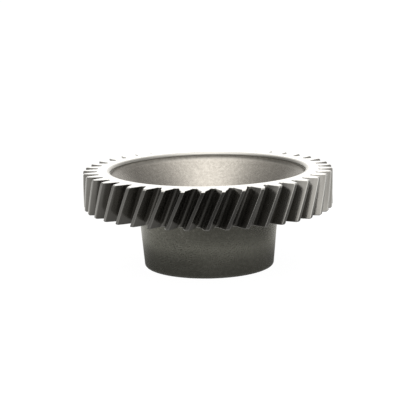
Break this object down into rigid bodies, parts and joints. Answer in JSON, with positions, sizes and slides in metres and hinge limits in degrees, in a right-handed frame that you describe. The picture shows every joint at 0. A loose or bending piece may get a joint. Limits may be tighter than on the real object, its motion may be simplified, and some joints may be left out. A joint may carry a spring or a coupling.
{
  "type": "helical gear",
  "caption": "Right-hand helical gear: a toothed ring on a bell-shaped hub with a wide funnel mouth, running on a plain bush in the hub's bore.",
  "frame": {"origin": "on the gear's axis, in the plane of the hub's end face, which the gear stands on", "axes": "+Z along the gear's axis, from the hub's end face towards the toothed ring and the mouth; +X and +Y across the gear, with -Y the side seen from the front"},
  "size_m": [0.141, 0.141, 0.0555],
  "materials": {
    "gear_steel": "ground and hardened steel, dark satin flanks, fine grain",
    "hub_steel": "shot-blasted matt forged steel",
    "bush_bronze": "turned bearing bronze"
  },
  "bodies": {
    "root": {"toothed_ring": "gear_steel", "bell_hub": "hub_steel", "bore_bush": "bush_bronze"}
  },
  "joints": []
}
